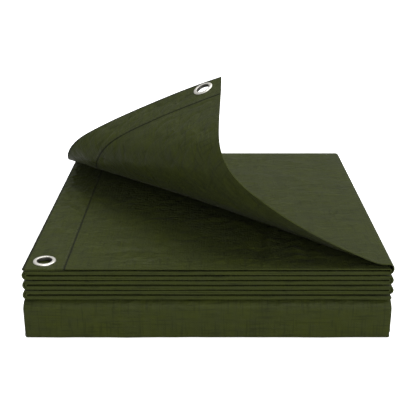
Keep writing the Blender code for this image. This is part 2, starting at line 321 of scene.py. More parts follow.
underCreases = [
    {"start": (0.004, 0.215), "end": (0.036, 0.170), "width": 0.0045, "height": 0.0008},
    {"start": (0.003, 0.185), "end": (0.034, 0.140), "width": 0.0045, "height": -0.0013},
    {"start": (0.003, 0.160), "end": (0.036, 0.120), "width": 0.0040, "height": 0.0008},
    {"start": (0.002, 0.130), "end": (0.034, 0.098), "width": 0.0040, "height": -0.0007},
    {"start": (0.003, 0.105), "end": (0.030, 0.078), "width": 0.0035, "height": 0.0011},
    {"start": (0.040, 0.180), "end": (0.075, 0.140), "width": 0.0050, "height": -0.0013},
    {"start": (0.046, 0.128), "end": (0.090, 0.095), "width": 0.0050, "height": 0.0008},
    {"start": (0.050, 0.058), "end": (0.118, 0.064), "width": 0.0045, "height": 0.0008},
    {"start": (0.058, 0.030), "end": (0.142, 0.036), "width": 0.0045, "height": -0.0013},
    {"start": (0.070, 0.014), "end": (0.128, 0.018), "width": 0.0035, "height": 0.0011},
    {"start": (0.120, 0.066), "end": (0.180, 0.058), "width": 0.0045, "height": -0.0007},
    {"start": (0.150, 0.110), "end": (0.196, 0.120), "width": 0.0050, "height": 0.0011},
    {"start": (0.236, 0.012), "end": (0.242, 0.108), "width": 0.0045, "height": 0.0017},
    {"start": (0.228, 0.016), "end": (0.231, 0.092), "width": 0.0040, "height": -0.0015},
    {"start": (0.196, 0.118), "end": (0.226, 0.070), "width": 0.0050, "height": 0.0013},
    {"start": (0.246, 0.045), "end": (0.290, 0.024), "width": 0.0045, "height": 0.0013},
    {"start": (0.206, 0.052), "end": (0.224, 0.024), "width": 0.0040, "height": -0.0017},
    {"start": (0.256, 0.060), "end": (0.270, 0.016), "width": 0.0040, "height": -0.0017},
]


creaseForm = {"bow": 0.08, "taper": 0.7}       # bow as a share of the length
ridgeForm = {"narrow": 5, "sharp": 1.5}
seam = {"calm": 0.25, "near": 0.001, "far": 0.006}      # wrinkles that are left along it


def creaseHeight(x, y, creases):
    height = np.zeros_like(x)
    for crease in creases:
        start, end = np.array(crease["start"]), np.array(crease["end"])
        length = np.linalg.norm(end - start)
        direction = (end - start) / length
        alongIt = (x - start[0]) * direction[0] + (y - start[1]) * direction[1]
        acrossIt = (y - start[1]) * direction[0] - (x - start[0]) * direction[1]
        arch = np.sin(np.pi * np.clip(alongIt / length, 0, 1))
        offset = (acrossIt - creaseForm["bow"] * length * arch) / crease["width"]
        height += crease["height"] * arch ** creaseForm["taper"] * np.exp(-(offset ** 2))
    return height


def crumple(x, y, size, seed, turn=0.0):
    # soft uneven swells, between -1 and 1; size is (along, across) and turn is in degrees
    cos, sin = math.cos(math.radians(turn)), math.sin(math.radians(turn))
    first = ((x * cos + y * sin) / size[0]).ravel()
    second = ((y * cos - x * sin) / size[1]).ravel()
    values = [noise.noise(Vector((a, b, seed))) for a, b in zip(first, second)]
    return np.array(values).reshape(x.shape)


def ridges(x, y, size, seed, turn=0.0):
    # thin raised lines where a swell crosses zero, from 0 to 1
    swell = np.abs(crumple(x, y, size, seed, turn)) * ridgeForm["narrow"]
    return (1 - np.minimum(swell, 1)) ** ridgeForm["sharp"]


# the wrinkles of each piece of cloth, and the part of it that each lies on
liftedWrinkles = [
    {"on": "all", "form": crumple, "height": 0.00045, "size": (0.034, 0.034), "seed": 3.1, "turn": 0},
    {"on": "flat", "form": ridges, "height": 0.00115, "size": (0.048, 0.013), "seed": 7.7, "turn": 0},
    {"on": "flat", "form": crumple, "height": 0.00045, "size": (0.018, 0.006), "seed": 2.9, "turn": 0},
    {"on": "roll", "form": ridges, "height": 0.00080, "size": (0.030, 0.017), "seed": 4.3, "turn": 35},
    {"on": "roll", "form": crumple, "height": 0.00040, "size": (0.012, 0.009), "seed": 8.8, "turn": 35},
    {"on": "turn", "form": crumple, "height": 0.00040, "size": (0.030, 0.005), "seed": 6.6, "turn": -12},
]
underWrinkles = [
    {"on": "all", "form": crumple, "height": 0.00040, "size": (0.030, 0.030), "seed": 1.3, "turn": 0},
    {"on": "all", "form": ridges, "height": 0.00060, "size": (0.034, 0.017), "seed": 5.9, "turn": 20},
    {"on": "all", "form": crumple, "height": 0.00042, "size": (0.013, 0.008), "seed": 9.1, "turn": 20},
    {"on": "hem", "form": ridges, "height": 0.00110, "size": (0.019, 0.013), "seed": 3.7, "turn": 55},
    {"on": "hem", "form": crumple, "height": 0.00060, "size": (0.009, 0.006), "seed": 5.2, "turn": 40},
]
bodyWrinkles = [
    {"on": "all", "form": crumple, "height": 0.00040, "size": (0.055, 0.055), "seed": 2.2, "turn": 0},
    {"on": "all", "form": crumple, "height": 0.00022, "size": (0.017, 0.017), "seed": 9.4, "turn": 0},
]


def wrinkleHeight(u, v, creases, wrinkles, parts):
    # parts gives each part's share at each point
    height = creaseHeight(u, v, creases)
    for wrinkle in wrinkles:
        swell = wrinkle["form"](u, v, wrinkle["size"], wrinkle["seed"], wrinkle["turn"])
        height += parts[wrinkle["on"]] * wrinkle["height"] * swell
    return height


def calmEdges(u, v, side, front, fold, eyeletAt):
    # the share of the wrinkles left near the edges, the side fold, the eyelet and the seam
    share = smoothStep(0.0, side, u) * smoothStep(0.0, front, v) * (1 - smoothStep(*fold, u))
    ringGap = np.hypot(u - eyeletAt[0], v - eyeletAt[1])
    share *= smoothStep(eyelet["calmFrom"], eyelet["calmTo"], ringGap)
    beside = smoothStep(seam["near"], seam["far"], np.abs(u - cloth["hemWidth"]))
    return share * (seam["calm"] + (1 - seam["calm"]) * beside)


def pushed(points, height):
    # a grid of points, moved along its own normals
    acrossGrid = np.gradient(points, axis=1)
    upGrid = np.gradient(points, axis=0)
    normal = np.cross(acrossGrid, upGrid)
    normal /= np.maximum(np.linalg.norm(normal, axis=2, keepdims=True), 1e-12)
    return points + normal * height[..., None]


def clothMesh(name, points, flat, kept, hemmed):
    # points and flat are grids, rows by columns; kept says which faces stay
    rows, columns = points.shape[:2]
    mesh = bpy.data.meshes.new(name)
    corners = np.arange(rows * columns).reshape(rows, columns)
    faces = np.stack(
        [corners[:-1, :-1], corners[:-1, 1:], corners[1:, 1:], corners[1:, :-1]], axis=-1
    )[kept]
    used, index = np.unique(faces, return_inverse=True)
    mesh.from_pydata(
        points.reshape(-1, 3)[used].tolist(), [], index.reshape(-1, 4).tolist()
    )
    layer = mesh.uv_layers.new(name="flat")
    vertexOfLoop = np.zeros(len(mesh.loops), dtype=np.int32)
    mesh.loops.foreach_get("vertex_index", vertexOfLoop)
    layer.data.foreach_set("uv", flat.reshape(-1, 2)[used][vertexOfLoop].ravel())
    obj = newObject(name, mesh)
    group = obj.vertex_groups.new(name="hem")
    group.add(np.nonzero(hemmed.ravel()[used])[0].tolist(), 1.0, "REPLACE")
    solidify = obj.modifiers.new("Thickness", "SOLIDIFY")
    solidify.thickness = cloth["hem"]
    solidify.offset = 0.0
    solidify.vertex_group = "hem"
    solidify.thickness_vertex_group = cloth["ply"] / cloth["hem"]
    frozen(obj)
    obj.data.polygons.foreach_set("use_smooth", [True] * len(obj.data.polygons))
    obj.data.set_sharp_from_angle(angle=math.radians(50))
    return obj


# how close the grids' points lie: along the hem and the front, at the seam, and elsewhere
grid = {
    "hemZone": 0.028, "hemColumns": 18, "frontZone": 0.030, "frontRows": 20,
    "seamOuter": 0.0016, "seamInner": 0.0005, "seamColumns": 5,
    "columnPitch": 0.0020, "rowPitch": 0.0022,
    "punchReach": 0.0017,       # points this far outside a hole's edge are drawn in to it
}


def hemStops(total):
    # columns from the hemmed edge inward, close together round the eyelet and at the seam
    line, outer, inner = cloth["hemWidth"], grid["seamOuter"], grid["seamInner"]
    return [
        (grid["hemZone"], grid["hemColumns"]), (line - outer, grid["seamColumns"]),
        (line - inner, 2), (line + inner, 2), (line + outer, 2),
        (total, int((total - line) / grid["columnPitch"])),
    ]


def punched(x, y, middle):
    # draws the grid in round an eyelet's hole: the moved flat places, and the points inside
    offset = np.stack([x - middle[0], y - middle[1]], axis=-1)
    distance = np.linalg.norm(offset, axis=-1)
    edge = eyelet["holeEdge"]
    inside = distance < edge
    ring = (distance >= edge) & (distance < edge + grid["punchReach"])
    scale = np.where(ring, edge / np.maximum(distance, 1e-9), 1)
    return middle[0] + offset[..., 0] * scale, middle[1] + offset[..., 1] * scale, inside


def facesWithout(inside):
    # the faces that touch no point inside the hole
    cut = inside[:-1, :-1] | inside[:-1, 1:] | inside[1:, 1:] | inside[1:, :-1]
    return ~cut


def frontRows(total):
    zone = grid["frontZone"]
    return spread([(zone, grid["frontRows"]), (total, int((total - zone) / grid["rowPitch"]))])


# where each ply lies calm: this far from its side and front edges, and over its side fold
lifted = {
    "side": 0.010, "front": 0.008, "fold": (0.318, 0.336), "back": (0.014, 0.006),
    "rollFrom": 0.35,           # share across by which the crumples of the roll are in full
    "turnAt": 0.176, "turnReach": 0.030, "turnFade": (0.018, 0.046),
    "foldSteps": 12, "backSteps": 6,
}


def makeLiftedPly():
    # the top ply and the fold at its right, over the top panel and down the back
    columnX = spread(hemStops(rightEdge + halfWidth))
    rowY = frontRows(cloth["depth"] - cloth["round"] - cloth["ply"] / 2)
    x, y = np.meshgrid(columnX, rowY)
    x, y, inside = punched(x, y, eyelet["liftedAt"])
    flat = np.stack([x - halfWidth, y - halfDepth], axis=-1)
    panel = peeled(flat)

    downNodes = np.concatenate([
        np.arange(1, turnNodes) + 1.0,
        turnNodes + np.arange(1, lifted["backSteps"] + 1) / lifted["backSteps"],
        turnNodes + 1 + np.arange(1, turnNodes) * 1.0,
    ])
    down = np.stack(
        [flatColumn(value - halfWidth, topPly, downNodes) for value in columnX], axis=1
    )
    rowNodes = np.concatenate([rowY / rowY[-1], downNodes])
    shares = np.arange(1, lifted["foldSteps"] + 1) / lifted["foldSteps"]
    folded = np.stack(
        [foldColumn(1, topPly, 3, share, rowNodes) for share in shares], axis=1
    )
    points = np.concatenate([np.concatenate([panel, down]), folded], axis=1)

    downLength = along(pathLengths, topPly, downNodes) - pathLengths[topPly][1]
    v = np.concatenate([y[:, 0], y[-1, 0] + downLength])
    foldEdge = points[0, -lifted["foldSteps"] - 1:]
    foldLength = np.cumsum(np.linalg.norm(np.diff(foldEdge, axis=0), axis=1))
    u = np.concatenate([columnX, columnX[-1] + foldLength])
    flatU, flatV = np.meshgrid(u, v)
    flatU[:len(rowY), :len(columnX)] = x
    flatV[:len(rowY), :len(columnX)] = y

    calm = calmEdges(
        flatU, flatV, lifted["side"], lifted["front"], lifted["fold"], eyelet["liftedAt"]
    )
    backFrom, backTo = lifted["back"]
    calm *= 1 - smoothStep(cloth["depth"] - backFrom, cloth["depth"] - backTo, flatV)
    across = peelAngle(np.stack([flatU - halfWidth, flatV - halfDepth], axis=-1)) / tipAngle
    rolled = smoothStep(0.0, lifted["rollFrom"], across)
    # fine gathers square to the hem where the roll turns over at its left end
    turned = np.exp(-((flatV - lifted["turnAt"]) / lifted["turnReach"]) ** 2)
    turned *= 1 - smoothStep(*lifted["turnFade"], flatU)
    parts = {"all": 1, "flat": 1 - rolled, "roll": rolled, "turn": turned}
    height = wrinkleHeight(flatU, flatV, liftedCreases, liftedWrinkles, parts)
    points = pushed(points, height * calm)

    kept = np.ones((points.shape[0] - 1, points.shape[1] - 1), dtype=bool)
    kept[:len(rowY) - 1, :len(columnX) - 1] = facesWithout(inside)
    hemmed = flatU < cloth["hemWidth"]
    return clothMesh("liftedPly", points, np.stack([flatU, flatV], axis=-1), kept, hemmed)


under = {
    "side": 0.006, "front": 0.008, "fold": (0.322, 0.336),
    "hemFade": (0.034, 0.044), "hemFrom": (0.06, 0.14), "hemCalm": 0.25,
    "foldSteps": 8, "foldLength": 0.004,
}


def makeUnderPly():
    # the ply under the lifted one, with the fold at its right, over the top panel
    start = foldShape(underPly, 2, np.array([0.0]))[0][0]
    columnX = spread(hemStops(start + halfWidth))
    rowY = frontRows(paths[underPly][1][0] + halfDepth)
    x, y = np.meshgrid(columnX, rowY)
    x, y, inside = punched(x, y, eyelet["underAt"])
    height = np.full(x.shape, cloth["top"] - cloth["ply"] / 2)
    height -= np.where(x < cloth["hemWidth"], (cloth["hem"] - cloth["ply"]) / 2, 0)
    panel = np.stack([x + cloth["left"], y - halfDepth, height], axis=-1)
    shares = np.arange(1, under["foldSteps"] + 1) / under["foldSteps"]
    folded = np.stack(
        [foldColumn(1, underPly, 2, share, rowY / rowY[-1]) for share in shares], axis=1
    )
    points = np.concatenate([panel, folded], axis=1)
    flatU = np.concatenate([x, x[:, -1:] + shares * under["foldLength"]], axis=1)
    flatV = np.concatenate([y, np.repeat(y[:, -1:], len(shares), axis=1)], axis=1)

    calm = calmEdges(
        flatU, flatV, under["side"], under["front"], under["fold"], eyelet["underAt"]
    )
    # the hem strip is crumpled finer than the rest, most of all under the roll
    strip = 1 - smoothStep(*under["hemFade"], flatU)
    strip *= under["hemCalm"] + (1 - under["hemCalm"]) * smoothStep(*under["hemFrom"], flatV)
    parts = {"all": 1, "hem": strip}
    lift = wrinkleHeight(flatU, flatV, underCreases, underWrinkles, parts)
    points = pushed(points, lift * calm)

    kept = np.ones((points.shape[0] - 1, points.shape[1] - 1), dtype=bool)
    kept[:, :len(columnX) - 1] = facesWithout(inside)
    hemmed = flatU < cloth["hemWidth"]
    return clothMesh("underPly", points, np.stack([flatU, flatV], axis=-1), kept, hemmed)


body = {
    "topNodes": [0, 0.006, 0.03, 0.2, 0.6],         # rows of the top panel, as shares of it
    "runSteps": 22, "bandSteps": 12, "looseReach": 0.25,
    "wander": 0.00035, "wanderSize": (0.060, 1), "wanderSeed": 4.4, "plyShift": 0.37,
}


def makeFoldedBody():
    # all the other plies, as one back-and-forth sheet taken round the two folds of the letter
    arc = np.arange(turnNodes - 1)
    nodes = np.concatenate([
        body["topNodes"],
        1 + arc, turnNodes + np.arange(4) / 4, turnNodes + 1 + arc,
        2 * turnNodes + np.arange(3) / 3,
        frontTurn + arc,
        frontTurn + turnNodes - 1 + np.arange(body["bandSteps"]) / body["bandSteps"],
        frontTurn + turnNodes + arc,
        frontTurn + 2 * turnNodes - 1 + np.arange(3) / 2,
    ]).astype(float)
    runSteps, foldSteps = body["runSteps"], cloth["foldSteps"]
    columns, u, plies = [], [], []
    length = 0.0
    for number, ply in enumerate(runs):
        side = 1 if number % 2 == 0 else -1
        before = runs[number - 1] if number else None
        after = runs[number + 1] if number < len(runs) - 1 else None
        startX = -halfWidth if before is None else -side * foldShape(before, ply, nodes)[0]
        endX = -halfWidth if after is None else side * foldShape(ply, after, nodes)[0]
        for step in range(runSteps + 1):
            share = step / runSteps
            columns.append(flatColumn(startX * (1 - share) + endX * share, ply, nodes))
            plies.append(ply)
            u.append(length + share * cloth["width"])
        length += cloth["width"]
        if after is None:
            break
        for step in range(1, foldSteps):
            columns.append(foldColumn(side, ply, after, step / foldSteps, nodes))
            plies.append(ply)
            u.append(length + cloth["foldLength"] * step / foldSteps)
        length += cloth["foldLength"]
    points = np.stack(columns, axis=1)
    u, plies = np.array(u), np.array(plies)
    flatV = np.stack([along(pathLengths, ply, nodes) for ply in plies], axis=1)
    flatU = np.repeat(u[None], len(nodes), axis=0)

    # the pressed bundle swells and dips a little between its corners
    front = smoothStep(frontTurn, frontTurn + 2, nodes)
    front *= 1 - smoothStep(frontTurn + 2 * turnNodes - 3, frontTurn + 2 * turnNodes - 1, nodes)
    height = wrinkleHeight(flatU, flatV, [], bodyWrinkles, {"all": 1})
    height *= front[:, None] * (plies == lastPly)[None]
    points = pushed(points, height)
    # the front edges of the loose plies wander up and down
    loose = 1 - smoothStep(0.0, body["looseReach"], nodes)
    shifted = points[..., 0] + plies * body["plyShift"]
    swell = crumple(shifted, np.zeros_like(flatU), body["wanderSize"], body["wanderSeed"])
    points[..., 2] += body["wander"] * swell * loose[:, None]

    kept = np.ones((len(nodes) - 1, points.shape[1] - 1), dtype=bool)
    panelRows = len(body["topNodes"])
    kept[:panelRows, :runSteps + foldSteps] = False         # the under ply and its fold
    topStart = points.shape[1] - 1 - runSteps - foldSteps
    backRows = panelRows + 2 * turnNodes + 2
    kept[:backRows, topStart:] = False                      # the lifted ply and its fold
    hemmed = np.zeros(flatU.shape, dtype=bool)
    return clothMesh("foldedBody", points, np.stack([flatU, flatV], axis=-1), kept, hemmed)


class Value:
    # a number's socket, with arithmetic that adds the Math nodes
    def __init__(self, tree, socket):
        self.tree, self.socket = tree, socket

    def math(self, operation, *others):
        node = self.tree.nodes.new("ShaderNodeMath")
        node.operation = operation
        for place, item in enumerate((self, *others)):
            if isinstance(item, Value):
                self.tree.links.new(item.socket, node.inputs[place])
            else:
                node.inputs[place].default_value = item
        return Value(self.tree, node.outputs[0])

    def __add__(self, other):
        return self.math("ADD", other)

    def __radd__(self, other):
        return self.math("ADD", other)

    def __sub__(self, other):
        return self.math("SUBTRACT", other)

    def __rsub__(self, other):
        node = self.tree.nodes.new("ShaderNodeMath")
        node.operation = "SUBTRACT"
        node.inputs[0].default_value = other
        self.tree.links.new(self.socket, node.inputs[1])
        return Value(self.tree, node.outputs[0])

    def __mul__(self, other):
        return self.math("MULTIPLY", other)

    def __rmul__(self, other):
        return self.math("MULTIPLY", other)

    def __truediv__(self, other):
        return self.math("DIVIDE", other)

    def clamp(self):
        return self.math("MINIMUM", 1.0).math("MAXIMUM", 0.0)


class Finish:
    # one material and its nodes
    def __init__(self, name):
        self.material = bpy.data.materials.new(name)
        self.material.use_nodes = True
        self.tree = self.material.node_tree
        self.shader = self.tree.nodes["Principled BSDF"]

    def node(self, kind, settings=None, **inputs):
        made = self.tree.nodes.new(kind)
        for key, value in (settings or {}).items():
            if key == "stops":
                for number, (place, colour) in enumerate(value):
                    stops = made.color_ramp.elements
                    stop = stops[number] if number < len(stops) else stops.new(place)
                    stop.position, stop.color = place, colour
            else:
                setattr(made, key, value)
        for key, value in inputs.items():
            self.feed(made.inputs[key.replace("_", " ")], value)
        return made

    def feed(self, socket, value):
        if isinstance(value, Value):
            self.tree.links.new(value.socket, socket)
        elif isinstance(value, bpy.types.NodeSocket):
            self.tree.links.new(value, socket)
        else:
            socket.default_value = value

    def value(self, socket):
        return Value(self.tree, socket)

    def stretched(self, coordinates, scale):
        scale = (*scale, 1.0)[:3]
        return self.node("ShaderNodeMapping", Vector=coordinates, Scale=scale).outputs["Vector"]

    def noise(self, coordinates, scale, detail=2.0, roughness=0.5):
        made = self.node(
            "ShaderNodeTexNoise", {"noise_dimensions": "3D"},
            Vector=coordinates, Scale=scale, Detail=detail, Roughness=roughness,
        )
        return self.value(made.outputs["Fac"])

    def blendColour(self, factor, first, second, kind="MIX"):
        node = self.tree.nodes.new("ShaderNodeMix")
        node.data_type, node.blend_type = "RGBA", kind
        self.feed(node.inputs["Factor"], factor)
        for socket, colour in ((node.inputs[6], first), (node.inputs[7], second)):
            self.feed(socket, (*colour, 1.0) if isinstance(colour, tuple) else colour)
        return node.outputs[2]


canvas = {
    "warm": (0.0365, 0.0445, 0.0075), "cool": (0.0320, 0.0385, 0.0112),
    # the lighter flecks' colour stands for wear, and on the hem strip for painted highlights as well
    "yarn": (0.0170, 0.0205, 0.0060), "wearAndHighlight": (0.0700, 0.0790, 0.0380),
    # then painted shade for the seam's groove and the cloth's edge, and how wide each band of it is
    "paintedShade": (0.0040, 0.0046, 0.0020), "paintedSeamShadeWidth": 0.0010, "paintedEdgeShadeWidth": 0.0030,
    # how often each pattern repeats in a metre, along and across the cloth
    "yarns": (600, 42), "broad": (230, 13), "wide": (38, 78), "small": (75, 150),
    "patches": 22.0, "wearAndHighlightFlecks": 60.0, "zones": 14.0, "threads": 900.0,
    # the reliefs, in metres
    "weaveHeight": 0.00005, "yarnHeight": 0.00016, "wideHeight": 0.00080,
    "smallHeight": 0.00022, "rubHeight": 0.00090,
    "roughness": 0.46, "gloss": 0.07, "sheen": 0.02, "sheenRoughness": 0.4,
}


def canvasMaterial():
    finish = Finish("wovenCanvas")
    flat = finish.node("ShaderNodeUVMap", {"uv_map": "flat"}).outputs["UV"]
    split = finish.node("ShaderNodeSeparateXYZ", Vector=flat)
    u, v = finish.value(split.outputs["X"]), finish.value(split.outputs["Y"])

    # warp and weft: thick and thin yarns as long streaks, each way
    warp = finish.noise(finish.stretched(flat, canvas["yarns"]), 1.0, 1.0)
    weft = finish.noise(finish.stretched(flat, canvas["yarns"][::-1]), 1.0, 1.0)
    broadWarp = finish.noise(finish.stretched(flat, canvas["broad"]), 1.0, 2.0)
    broadWeft = finish.noise(finish.stretched(flat, canvas["broad"][::-1]), 1.0, 2.0)
    patches = finish.noise(flat, canvas["patches"], 4.0, 0.6)
    plaid = ((broadWarp + broadWeft - 1.0) * 1.3 + (patches - 0.5) * 2.2 + 0.5).clamp()
    colour = finish.blendColour(plaid, canvas["warm"], canvas["cool"])
    streak = ((warp - 0.54) * 6.0).clamp() + ((weft - 0.54) * 6.0).clamp()
    colour = finish.blendColour(streak.clamp() * 0.52, colour, canvas["yarn"])
    rubbed = finish.noise(flat, canvas["wearAndHighlightFlecks"], 5.0, 0.7)
    # lighter flecks: wear all over, and on the hem strip mostly painted highlights, standing in for the
    # light on its crumples
    hemmed = ((cloth["hemWidth"] - u) * 2000.0).clamp()
    wearAndHighlightFlecks = ((rubbed - 0.55) * 3.0).clamp() * (hemmed * 0.50 + 0.20)
    colour = finish.blendColour(wearAndHighlightFlecks, colour, canvas["wearAndHighlight"])
    # painted shade: the colour darkens along the sewn seam's groove and along the cloth's edge, standing in
    # for the shade that falls there
    seamGap = (u - cloth["hemWidth"]).math("ABSOLUTE")
    paintedShade = ((1.0 - seamGap / canvas["paintedSeamShadeWidth"]) * 1.8).clamp()
    # painted shade along the cloth's edge, standing in for its thin cut edge in shadow
    paintedEdgeShade = ((1.0 - u / canvas["paintedEdgeShadeWidth"]) * 1.8).clamp()
    colour = finish.blendColour((paintedShade + paintedEdgeShade * 0.9).clamp() * 0.92, colour, canvas["paintedShade"])

    finish.feed(finish.shader.inputs["Base Color"], colour)
    finish.feed(
        finish.shader.inputs["Roughness"],
        canvas["roughness"] + (patches - 0.5) * 0.16 + (rubbed - 0.5) * 0.14,
    )

    # plain weave, slubs, and the crinkles of a coated cloth: thin ridges with flats between
    fine = math.pi * canvas["threads"]
    over = (u * fine).math("SINE") * (v * fine).math("SINE")
    wide = finish.noise(finish.stretched(flat, canvas["wide"]), 1.0, 3.0, 0.55)
    wideRidge = 1.0 - ((wide - 0.5) * 5.0).math("ABSOLUTE").math("MINIMUM", 1.0)
    small = finish.noise(finish.stretched(flat, canvas["small"]), 1.0, 3.0, 0.6)
    smallRidge = 1.0 - ((small - 0.5) * 4.0).math("ABSOLUTE").math("MINIMUM", 1.0)
    where = ((finish.noise(flat, canvas["zones"], 2.0) - 0.38) * 4.0).clamp()
    relief = (
        over * canvas["weaveHeight"] + (warp + weft) * canvas["yarnHeight"]
        + wideRidge * where * canvas["wideHeight"] + smallRidge * canvas["smallHeight"]
        + rubbed * canvas["rubHeight"]
    )
    bump = finish.node("ShaderNodeBump", Height=relief, Strength=1.0, Distance=1.0)
    finish.feed(finish.shader.inputs["Normal"], bump.outputs["Normal"])
    finish.shader.inputs["Specular IOR Level"].default_value = canvas["gloss"]
    finish.shader.inputs["Sheen Weight"].default_value = canvas["sheen"]
    finish.shader.inputs["Sheen Roughness"].default_value = canvas["sheenRoughness"]
    return finish.material


metal = {
    # the third colour is painted shade, for the barrel's wall inside the hole
    "pale": (0.75, 0.73, 0.67), "dull": (0.67, 0.65, 0.59), "wall": (0.035, 0.032, 0.026),
    "wallShare": 0.9, "clouds": 300.0, "scratches": (900, 2600, 900),
    "roughness": 0.30, "metallic": 0.70, "scratchDepth": 0.00001, "cloudDepth": 0.00002,
}


def metalMaterial():
    finish = Finish("pressedMetal")
    place = finish.node("ShaderNodeTexCoord").outputs["Object"]
    cloud = finish.noise(place, metal["clouds"], 3.0)
    scratch = finish.noise(finish.stretched(place, metal["scratches"]), 1.0, 3.0)
    colour = finish.blendColour(((cloud - 0.4) * 1.6).clamp(), metal["pale"], metal["dull"])
    # painted shade: the barrel's wall inside the hole is coloured dark, standing in for the shadow in it
    wall = finish.node("ShaderNodeAttribute", {"attribute_name": "barrel"}).outputs["Fac"]
    colour = finish.blendColour(finish.value(wall) * metal["wallShare"], colour, metal["wall"])
    finish.feed(finish.shader.inputs["Base Color"], colour)
    rough = metal["roughness"] + cloud * 0.10 + scratch * 0.06
    finish.feed(finish.shader.inputs["Roughness"], rough)
    relief = scratch * metal["scratchDepth"] + cloud * metal["cloudDepth"]
    bump = finish.node("ShaderNodeBump", Height=relief, Strength=1.0, Distance=1.0)
    finish.feed(finish.shader.inputs["Normal"], bump.outputs["Normal"])
    finish.shader.inputs["Metallic"].default_value = metal["metallic"]
    return finish.material


thread = {"dark": (0.026, 0.030, 0.012), "light": (0.044, 0.049, 0.022), "twists": 1500.0, "roughness": 0.6}


def threadMaterial():
    finish = Finish("seamThread")
    place = finish.node("ShaderNodeTexCoord").outputs["Object"]
    twist = finish.noise(place, thread["twists"], 1.0)
    colour = finish.blendColour(twist, thread["dark"], thread["light"])
    finish.feed(finish.shader.inputs["Base Color"], colour)
    finish.shader.inputs["Roughness"].default_value = thread["roughness"]
    return finish.material


def ringProfile():
    # (radius, height) round the ring's section, its domed face up; the hem lies between the faces
    face = cloth["hem"] / 2 + eyelet["gap"]
    middle = (eyelet["bore"] + eyelet["flange"]) / 2
    half = (eyelet["flange"] - eyelet["bore"]) / 2
    points = []
    for step in range(eyelet["domeSteps"] + 1):
        angle = math.radians(180 - eyelet["domeTurn"] * step)
        rise = eyelet["dome"] * abs(math.sin(angle)) ** eyelet["domePower"]
        points.append((middle + half * math.cos(angle), face + rise))
    barrel, base = eyelet["bore"] + eyelet["barrel"], -face - eyelet["backPlate"]
    points += [
        (eyelet["flange"] - eyelet["edge"], face), (barrel, face + eyelet["seat"]), (barrel, -face),
        (eyelet["backFlange"] - eyelet["edge"], -face),
        (eyelet["backFlange"], -face - eyelet["backPlate"] / 2),
        (eyelet["backFlange"] - eyelet["edge"], base),
        (eyelet["bore"] + eyelet["lip"], base), (eyelet["bore"], base + eyelet["lip"]),
    ]
    return points


def makeEyelet(name, place, material):
    bm = bmesh.new()
    verts = [bm.verts.new((radius, 0, height)) for radius, height in ringProfile()]
    edges = [bm.edges.new(pair) for pair in zip(verts, verts[1:] + verts[:1])]
    bmesh.ops.spin(
        bm, geom=verts + edges, cent=(0, 0, 0), axis=(0, 0, 1),
        angle=2 * math.pi, steps=eyelet["segments"], use_merge=True,
    )
    bmesh.ops.remove_doubles(bm, verts=bm.verts, dist=1e-6)
    bmesh.ops.recalc_face_normals(bm, faces=bm.faces)
    mesh = bpy.data.meshes.new(name)
    bm.to_mesh(mesh)
    bm.free()
    # marks the barrel's inner wall, which the metal darkens as painted shade
    barrel = mesh.attributes.new("barrel", "FLOAT", "POINT")
    reach = eyelet["bore"] + eyelet["barrel"] * 0.9
    inward = [float(vertex.co.to_2d().length < reach) for vertex in mesh.vertices]
    barrel.data.foreach_set("value", inward)
    mesh.transform(place)
    mesh.polygons.foreach_set("use_smooth", [True] * len(mesh.polygons))
    obj = newObject(name, mesh, material)
    mesh.set_sharp_from_angle(angle=math.radians(40))
    return obj


def surfaceFrame(at):
    # the rolled ply's place at a flat point, with +Z out of its lower face
    x, y = at[0] - halfWidth, at[1] - halfDepth
    probe = 0.002
    steps = np.array([(0, 0), (probe, 0), (-probe, 0), (0, probe), (0, -probe)])
    around = peeled(np.array([x, y]) + steps)
    alongX = Vector(around[1] - around[2]).normalized()
    alongY = Vector(around[3] - around[4]).normalized()
    normal = -alongX.cross(alongY).normalized()
    alongY = normal.cross(alongX)
    place = Matrix((alongX, alongY, normal)).transposed().to_4x4()
    place.translation = Vector(around[0])
    return place


# the seam stitches, as small beads of thread
stitch = {
    "pitch": 0.0042, "length": 0.0030, "thread": 0.00050, "inset": 0.0022, "proud": 0.15,
    "start": 0.002, "end": 0.006, "stops": 110, "segments": 8, "rings": 5,
}


def stitchTree(material):
    tree = bpy.data.node_groups.new("seamStitches", "GeometryNodeTree")
    face = tree.interface
    face.new_socket("Geometry", in_out="INPUT", socket_type="NodeSocketGeometry")
    for name in ("Pitch", "Stitch Length", "Thread"):
        face.new_socket(name, in_out="INPUT", socket_type="NodeSocketFloat")
    face.new_socket("Geometry", in_out="OUTPUT", socket_type="NodeSocketGeometry")
    node, link = tree.nodes.new, tree.links.new
    given, result = node("NodeGroupInput"), node("NodeGroupOutput")

    curve = node("GeometryNodeMeshToCurve")
    link(given.outputs["Geometry"], curve.inputs["Mesh"])
    points = node("GeometryNodeCurveToPoints")
    points.mode = "LENGTH"
    link(curve.outputs["Curve"], points.inputs["Curve"])
    link(given.outputs["Pitch"], points.inputs["Length"])

    bead = node("GeometryNodeMeshUVSphere")
    bead.inputs["Segments"].default_value = stitch["segments"]
    bead.inputs["Rings"].default_value = stitch["rings"]
    bead.inputs["Radius"].default_value = 0.5
    size = node("ShaderNodeCombineXYZ")
    link(given.outputs["Thread"], size.inputs["X"])
    link(given.outputs["Thread"], size.inputs["Y"])
    link(given.outputs["Stitch Length"], size.inputs["Z"])
    shaped = node("GeometryNodeTransform")
    link(bead.outputs["Mesh"], shaped.inputs["Geometry"])
    link(size.outputs["Vector"], shaped.inputs["Scale"])

    placed = node("GeometryNodeInstanceOnPoints")
    link(points.outputs["Points"], placed.inputs["Points"])
    link(shaped.outputs["Geometry"], placed.inputs["Instance"])
    aligned = node("FunctionNodeAlignRotationToVector")
    aligned.axis = "Z"
    link(points.outputs["Tangent"], aligned.inputs["Vector"])
    link(aligned.outputs["Rotation"], placed.inputs["Rotation"])
    real = node("GeometryNodeRealizeInstances")
    link(placed.outputs["Instances"], real.inputs["Geometry"])
    dressed = node("GeometryNodeSetMaterial")
    dressed.inputs["Material"].default_value = material
    link(real.outputs["Geometry"], dressed.inputs["Geometry"])
    link(dressed.outputs["Geometry"], result.inputs["Geometry"])
    return tree


